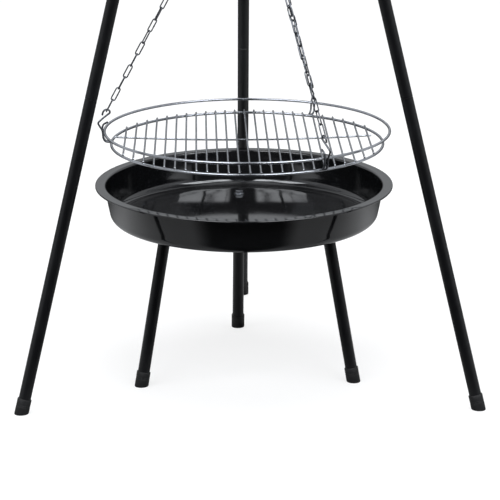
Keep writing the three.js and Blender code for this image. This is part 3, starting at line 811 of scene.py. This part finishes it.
# The ring, the bars laid across it, the bowed bar under them, and a bead wherever two wires meet.
# A bar ends where x squared + y squared = ring squared. The bowed bar is
# (1 - t)^2 left end + 2 t (1 - t) middle point + t^2 right end.
def grateShells():
    barHeight = grateHeight + grate["ringWire"] + grate["barWire"] - grate["barSink"]
    shells = [hoopShell(grate["ring"], grate["ringWire"], grateHeight, 256, 16)]
    outermost = int((grate["ring"] - grate["barsFree"] * grate["barSpacing"]) / grate["barSpacing"])
    x = np.arange(-outermost, outermost + 1) * grate["barSpacing"]
    half = np.sqrt(grate["ring"] ** 2 - x**2)
    for place, reach in zip(x, half):
        front = [place, -reach - grate["overFront"], barHeight]
        rear = [place, reach + grate["overRear"], barHeight]
        shells.append(wireShell(np.linspace(front, rear, 12), grate["barWire"], 12))
    crossHeight = barHeight - 2 * grate["barWire"] + grate["barSink"]
    leftEnd = -math.sqrt(grate["ring"] ** 2 - grate["crossRear"] ** 2)
    t = np.linspace(0, 1, 60)[:, None]
    first = np.array([leftEnd, grate["crossRear"], crossHeight])
    middle = np.array([0, grate["crossRear"] - 2 * grate["crossBow"], crossHeight])
    last = np.array([-leftEnd - grate["crossShort"], grate["crossRear"], crossHeight])
    bowed = (1 - t) ** 2 * first + 2 * t * (1 - t) * middle + t**2 * last
    shells.append(wireShell(bowed, grate["barWire"], 12))
    crossY = np.interp(x, bowed[:, 0], bowed[:, 1])
    under = barHeight - grate["barWire"]
    spots = np.concatenate([
        np.stack([x, half, 0 * x + under], -1),
        np.stack([x, -half, 0 * x + under], -1),
        np.stack([x, crossY, 0 * x + under], -1)[:-1],
        np.array([[leftEnd, grate["crossRear"], crossHeight]]),
    ])
    bases = np.broadcast_to(np.eye(3), (len(spots), 3, 3))
    beads = copiesOf(beadShell(grate["bead"]), spots, bases)
    return shells + [beads]


grateParts = grateShells()
cookingGrate = addPiece("cookingGrate", grateParts, [chromeWire, weldMetal], "grate",
                        ["cooking_grate"])
paintShells(cookingGrate, grateParts, {len(grateParts) - 1})


# A hanger is one wire: up from its start, down beside the rings, round under the lower one and up
# again, then curled into the open hook that takes the chain. Each point is given as distance
# outside the lower ring, height above it, and sideways.
def hangerPath(angle):
    outward = heading(angle)
    sideways = np.array([-outward[1], outward[0], 0])
    rise, s = grate["ringRise"], hanger["spread"]
    touch = grate["ringWire"] + hanger["wire"] - hanger["weldSink"]
    clear = grate["flare"] + touch
    hookOut, hookUp = hanger["hookOut"], rise + hanger["hookRise"]
    shape = np.array([
        [0.0056, rise + 0.015, -s], [0.014, rise + 0.010, -s], [clear, rise + 0.004, -s], [clear, rise, -s],
        [0.0142, 0.0095, -s], [0.0105, 0.004, -s], [touch, 0.0022, -s / 2], [touch - 0.0003, 0.002, 0],
        [touch, 0.0022, s / 2], [0.0105, 0.004, s], [0.0142, 0.0095, s], [clear, rise, s],
        [0.0198, rise + 0.007, s], [0.0233, rise + 0.014, 0.7 * s], [0.0185, rise + 0.0195, 0.4 * s],
        [hookOut, hookUp - 0.0095, 0], [hookOut - 0.0042, hookUp - 0.006, 0],
        [hookOut - 0.0036, hookUp - 0.0022, 0], [hookOut, hookUp, 0],
        [hookOut + 0.0046, hookUp - 0.0007, 0], [hookOut + 0.008, hookUp - 0.0046, 0],
        [hookOut + 0.0098, hookUp - 0.011, 0],
    ])
    points = (grate["ring"] + shape[:, :1]) * outward + shape[:, 2:] * sideways
    points[:, 2] += grateHeight + shape[:, 1]
    return smoothPath(points, 7)


# Each hanger carries its weld beads, and a chain that runs from its hook up to the height plate.
strandCircle = 0.030
hookPull = hanger["wire"] + chain["wire"] / 2 + 5 * fitGap
for place, angle in grateAngles.items():
    outward = heading(angle)
    sideways = np.array([-outward[1], outward[0], 0])
    onRail = outward * (upperRadius + grate["ringWire"]) + [0, 0, grateHeight + grate["ringRise"]]
    beadAt = np.array([
        onRail - sideways * hanger["spread"],
        onRail + sideways * hanger["spread"],
        outward * (grate["ring"] + grate["ringWire"]) + [0, 0, grateHeight + hanger["lowBeadRise"]],
    ])
    bases = np.broadcast_to(np.stack([outward, sideways, [0, 0, 1.0]]), (3, 3, 3))
    beads = copiesOf(beadShell(hanger["bead"]), beadAt, bases)
    parts = [wireShell(hangerPath(angle), hanger["wire"], 14), beads]
    piece = addPiece(f"hanger.{place}", parts, [zincPlate, weldMetal], "grate",
                     [f"hanger_{place}"])
    paintShells(piece, parts, {1})
    run = grate["ring"] + hanger["hookOut"] - strandCircle
    hookPoint = outward * (grate["ring"] + hanger["hookOut"])
    hookPoint[2] = grateHeight + grate["ringRise"] + hanger["hookRise"]
    along = unit(np.array([*(-outward[:2] * run), plateHeight - hookPoint[2]]))
    start = hookPoint + along * (chain["longPitch"] / 2 + chain["wire"] / 2 - hookPull)
    count = np.arange(chain["longLinks"])
    swing = np.sin(math.pi * count / (chain["longLinks"] - 1))
    twist = swing * (24 * np.sin(0.55 * count + angle) + 10 * np.sin(2.3 * count))
    links = chainShell(start, along, sideways, chain["longLinks"], chain["longPitch"], twist)
    addPiece(f"grateChain.{place}", [links], zincPlate, "grate", [f"grate_chain_{place}"])
print("cooking grate, hangers and chains made")

bowl = {
    "depth": 0.068,
    "rim": 0.277,
    "flange": 0.018,
    "taper": 0.008,
    "corner": 0.018,
    "wall": 0.0015,
    "lip": 0.003,
    "bulge": 0.0007,
    "bulgeShort": 0.003,
    "middle": 0.03,
    "place": (2, -0.0055, 0.025),
    "legTop": 0.171,
    "legFoot": 0.228,
}
bolt = {
    "flats": 0.013,
    "height": 0.0053,
    "reach": 0.022,
    "shank": 0.004,
    "pitch": 0.00125,
    "threadDepth": 0.0004,
}
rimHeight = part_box("fire_bowl")[1].z
floorHeight = rimHeight - bowl["depth"]


# The bowl is one pressed sheet: its underside from the middle out, up the tapered wall, out under
# the flange and down to the turned edge, then the same way back on the upper side. The wall is
# pressed a little outward: bulge * 4 t (1 - t), where t runs from the corner up to the flange. The
# steep runs of the profile are cut into twelve steps so that the bulge has points to move.
def bowlProfile():
    wall, mouth, rim = bowl["wall"], bowl["rim"] - bowl["flange"], bowl["rim"]
    middle, corner = bowl["middle"], bowl["corner"]
    foot = mouth - bowl["taper"] * (bowl["depth"] - wall) / (bowl["depth"] - wall - corner)
    underside = [[middle, floorHeight], [foot, floorHeight], [mouth, rimHeight - wall]]
    underside += [[rim - wall, rimHeight - wall], [rim - wall, rimHeight - bowl["lip"]]]
    underside += [[rim, rimHeight - bowl["lip"]]]
    upper = [[rim, rimHeight], [mouth - wall, rimHeight]]
    upper += [[foot - wall, floorHeight + wall], [middle, floorHeight + wall]]
    radii = [0, corner, 0.0025, 0.0003, 0.0003, 0.0004, 0.0018, 0.004, corner - wall, 0]
    profile = rounded(underside + upper, radii, 14)
    gap = np.abs(np.diff(profile, axis=0))
    isWall = (gap[:, 1] > 0.02) & (gap[:, 0] < gap[:, 1])
    counts = np.where(isWall, 12, 1)
    runs = [np.linspace(a, b, count, endpoint=False) for a, b, count in zip(profile, profile[1:], counts)]
    profile = np.vstack([*runs, profile[-1]])
    share = (profile[:, 1] - floorHeight - corner) / (bowl["depth"] - corner - bowl["bulgeShort"])
    share = np.clip(share, 0, 1)
    profile[:, 0] += bowl["bulge"] * 4 * share * (1 - share) * (profile[:, 0] > foot - corner)
    return profile


bowlShell = turned(bowlProfile(), 256)
addPiece("fireBowl", [bowlShell], enamel, "bowl", ["fire_bowl"], bowl["place"])

# Each bowl leg with its foot, washer and bolt. The plug insert in its top is the CAD's own solid.
bowlLean = math.atan((bowl["legFoot"] - bowl["legTop"]) / floorHeight)
for side, angle in legAngles.items():
    stand = (angle, bowl["legFoot"], bowlLean)
    outer, inner, edge = legs["tube"] / 2, legs["tube"] / 2 - legs["wall"], legs["edge"]
    low, seat = caps["floor"] + fitGap, floorHeight - fitGap
    rows = [[inner, low], [outer - edge, low], [outer, low + edge]]
    rows += [[outer, None, seat - edge], [outer - edge, None, seat], [inner, None, seat]]
    tube = legShell(*stand, rows, legs["sides"], True)
    cup = legShell(*stand, capRows(), legs["sides"], False)
    at = heading(angle) * bowl["legTop"]
    washerLow = floorHeight + bowl["wall"] + fitGap
    flat = washerShell(washerLow, 48, at)
    headLow = washerLow + washer["thickness"] + fitGap
    top = hexShell(bolt["flats"], headLow, headLow + bolt["height"], centre=at)
    tip = floorHeight - bolt["reach"]
    shank = threadShell(bolt["shank"], tip, headLow + 0.001, bolt["pitch"], bolt["threadDepth"], at)
    made = [
        (f"bowlLeg.{side}", [tube], powderCoat, f"bowl_leg_{side}", "powder_coat", 38),
        (f"bowlFootCap.{side}", [cup], capPlastic, f"bowl_foot_cap_{side}", "cap_plastic", 38),
        (f"bowlWasher.{side}", [flat], chromeWire, f"bowl_washer_{side}", "zinc_plate", 38),
        (f"bowlBolt.{side}", [top, shank], chromeWire, f"bowl_bolt_{side}", "zinc_plate", 24),
    ]
    for name, shells, finish, node, slot, sharp in made:
        addPiece(name, shells, finish, "bowl", [node], bowl["place"], sharp)
    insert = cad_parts[f"bowl_leg_insert_{side}"]
    insert.data.materials.clear()
    insert.data.materials.append(zincPlate)
print("fire bowl made")

studio = {
    "floorSize": 60.0,
    "floorSeen": 0.28,
    "floorGlow": 0.74,
    "floorMirrored": 0.15,
    "floorAside": 0.45,
    # Floor tones seen only in reflections: painted reflected shade, darkest in the wedge in front.
    "floorPaintedWedge": 0.05,
    "floorBehind": 0.15,
    "floorNearToFar": (-0.5, 0.3),
    "floorFades": (0.15, 0.9),
    # The wedge of painted reflected shade in front of the object: its starting line and its two edge values.
    "paintedWedgeFrom": -0.27,
    "paintedWedgeEdge": (0.6, 1.3),
    "lamps": 5.0,
    "lampsAside": (0.24, 2.1, 0.05),  # inner edge, outer edge, softness
    "lampsUp": (0.565, 0.87, 0.015),
    "ceiling": 0.9,
    "ceilingUp": (0.9, 0.98),
    "sides": 0.5,
    "sidesAside": (0.55, 0.85),
    "horizon": 0.05,
    "horizonUp": (0.03, 0.3),
    "behind": 0.56,
    "behindFrom": (0.0, 0.5),
    "front": 0.04,
    "backdropSeen": 1.02,
    "lightTint": (0.93, 0.96, 1, 1),
    "camera": (-0.0884, -3.9396, 1.3747),
    "lens": 158.0,
    "pitch": 16.16,
    "roll": -0.08,
    "heading": (0.0237, 0.9997),
}

floorMesh = bpy.data.meshes.new("studioFloor")
reach = studio["floorSize"] / 2
floorCorners = [(-reach, -reach, 0), (reach, -reach, 0), (reach, reach, 0), (-reach, reach, 0)]
floorMesh.from_pydata(floorCorners, [], [(0, 1, 2, 3)])
floor = bpy.data.objects.new("studioFloor", floorMesh)
bpy.context.scene.collection.objects.link(floor)


# A smooth step from one number to another while a value runs from low to high.
def band(nodes, links, value, low, high, first, second):
    node = nodes.new("ShaderNodeMapRange")
    node.interpolation_type = "SMOOTHSTEP"
    links.new(value, node.inputs["Value"])
    for label, number in (("From Min", low), ("From Max", high), ("To Min", first), ("To Max", second)):
        node.inputs[label].default_value = number
    return node.outputs["Result"]


# The pale floor. Seen in the object's reflections only, its colour is painted darker near the camera and far
# behind, and darker still in a wedge in front: painted reflected shade that no camera ray sees. The wedge
# fades out where the distance aside, divided by the distance in front of its starting line, passes between
# its two edge values.
def paleFloor():
    paper = bpy.data.materials.new("pale floor")
    paper.use_nodes = True
    nodes, links = paper.node_tree.nodes, paper.node_tree.links
    shader = nodes["Principled BSDF"]
    shader.inputs["Roughness"].default_value = 1
    shader.inputs["Specular IOR Level"].default_value = 0
    place = nodes.new("ShaderNodeTexCoord")
    split = nodes.new("ShaderNodeSeparateXYZ")
    links.new(place.outputs["Object"], split.inputs[0])
    aside = mathNode(nodes, links, "ABSOLUTE", split.outputs["X"])
    inFront = mathNode(nodes, links, "SUBTRACT", studio["paintedWedgeFrom"], split.outputs["Y"])
    ratio = mathNode(nodes, links, "DIVIDE", aside, mathNode(nodes, links, "MAXIMUM", inFront, 0.01))
    far = split.outputs["Y"]
    # Painted reflected shade: the dark wedge in front, seen only by glossy rays.
    paintedWedge = band(nodes, links, ratio, *studio["paintedWedgeEdge"], studio["floorPaintedWedge"], 1.0)
    plain = band(nodes, links, far, *studio["floorNearToFar"], studio["floorMirrored"], studio["floorAside"])
    behind = band(nodes, links, far, *studio["floorFades"], 1.0, studio["floorBehind"])
    mirrored = mathNode(nodes, links, "MULTIPLY", mathNode(nodes, links, "MULTIPLY", paintedWedge, plain), behind)
    path = nodes.new("ShaderNodeLightPath")
    tone = nodes.new("ShaderNodeMix")
    tone.data_type = "FLOAT"
    links.new(path.outputs["Is Glossy Ray"], tone.inputs[0])
    tone.inputs[2].default_value = studio["floorSeen"]
    links.new(mirrored, tone.inputs[3])
    links.new(tone.outputs[0], shader.inputs["Base Color"])
    shader.inputs["Emission Color"].default_value = (1, 1, 1, 1)
    glow = mathNode(nodes, links, "MULTIPLY", path.outputs["Is Camera Ray"], studio["floorGlow"])
    links.new(glow, shader.inputs["Emission Strength"])
    return paper


floorMesh.materials.append(paleFloor())


# The light of the studio by direction: two lamp panels high in front with a dark gap between them,
# a soft ceiling, paler sides, grey behind and dark round the camera. Seen directly it is pale.
def studioLight():
    world = bpy.data.worlds.new("studio light")
    bpy.context.scene.world = world
    world.use_nodes = True
    nodes, links = world.node_tree.nodes, world.node_tree.links
    background = nodes["Background"]
    direction = nodes.new("ShaderNodeTexCoord")
    split = nodes.new("ShaderNodeSeparateXYZ")
    links.new(direction.outputs["Generated"], split.inputs[0])
    x, y, z = split.outputs

    def window(value, low, high, soft):
        rise = band(nodes, links, value, low - soft, low + soft, 0.0, 1.0)
        fall = band(nodes, links, value, high - soft, high + soft, 1.0, 0.0)
        return mathNode(nodes, links, "MULTIPLY", rise, fall)

    aside = mathNode(nodes, links, "ABSOLUTE", x)
    forward = mathNode(nodes, links, "MAXIMUM", mathNode(nodes, links, "MULTIPLY", y, -1.0), 0.001)
    ratio = mathNode(nodes, links, "DIVIDE", aside, forward)
    across, upright = window(ratio, *studio["lampsAside"]), window(z, *studio["lampsUp"])
    panel = mathNode(nodes, links, "MULTIPLY", across, upright)
    lamps = mathNode(nodes, links, "MULTIPLY", panel, studio["lamps"])
    ceiling = band(nodes, links, z, *studio["ceilingUp"], 0.0, studio["ceiling"])
    sides = band(nodes, links, aside, *studio["sidesAside"], 0.0, studio["sides"])
    low = band(nodes, links, z, *studio["horizonUp"], studio["horizon"], studio["behind"])
    isBehind = band(nodes, links, y, *studio["behindFrom"], 0.0, 1.0)
    behind = mathNode(nodes, links, "MULTIPLY", low, isBehind)
    total = studio["front"]
    for part in (lamps, ceiling, sides, behind):
        total = mathNode(nodes, links, "MAXIMUM", part, total)
    path = nodes.new("ShaderNodeLightPath")
    seen = nodes.new("ShaderNodeMix")
    seen.data_type = "FLOAT"
    links.new(path.outputs["Is Camera Ray"], seen.inputs[0])
    links.new(total, seen.inputs[2])
    seen.inputs[3].default_value = studio["backdropSeen"]
    links.new(seen.outputs[0], background.inputs["Strength"])
    background.inputs["Color"].default_value = studio["lightTint"]


studioLight()


# A soft box: a square area light aimed at a point. The object mirrors the panels, not the boxes.
def softBox(name, place, target, size, power):
    light = bpy.data.lights.new(name, "AREA")
    light.shape = "SQUARE"
    light.size = size
    light.energy = power
    box = bpy.data.objects.new(name, light)
    box.location = place
    box.rotation_mode = "QUATERNION"
    box.rotation_quaternion = (Vector(target) - Vector(place)).to_track_quat("-Z", "Y")
    box.visible_glossy = False
    bpy.context.scene.collection.objects.link(box)


softBoxes = {
    "ceilingBox": {"place": (0, 0.4, 4.2), "target": (0, 0, 0.4), "size": 2.4, "power": 90},
    "leftBox": {"place": (-3.2, -1.6, 2.4), "target": (0, 0, 0.6), "size": 1.4, "power": 22},
    "rightBox": {"place": (3.2, -1.2, 2.6), "target": (0, 0, 0.6), "size": 1.4, "power": 16},
}
for name, settings in softBoxes.items():
    softBox(name, **settings)

cameraData = bpy.data.cameras.new("studio camera")
cameraData.sensor_width = 36
cameraData.lens = studio["lens"]
cameraData.clip_end = 200
camera = bpy.data.objects.new("studio camera", cameraData)
camera.location = Vector(studio["camera"]) + Vector((axisX, axisY, 0))
pitch = math.radians(studio["pitch"])
level = math.cos(pitch)
forward = Vector((studio["heading"][0] * level, studio["heading"][1] * level, -math.sin(pitch)))
camera.rotation_mode = "QUATERNION"
tilt = Quaternion((0, 0, 1), math.radians(studio["roll"]))
camera.rotation_quaternion = forward.to_track_quat("-Z", "Y") @ tilt
bpy.context.scene.collection.objects.link(camera)
bpy.context.scene.camera = camera
bpy.context.scene.view_settings.view_transform = "Standard"
print("studio made")
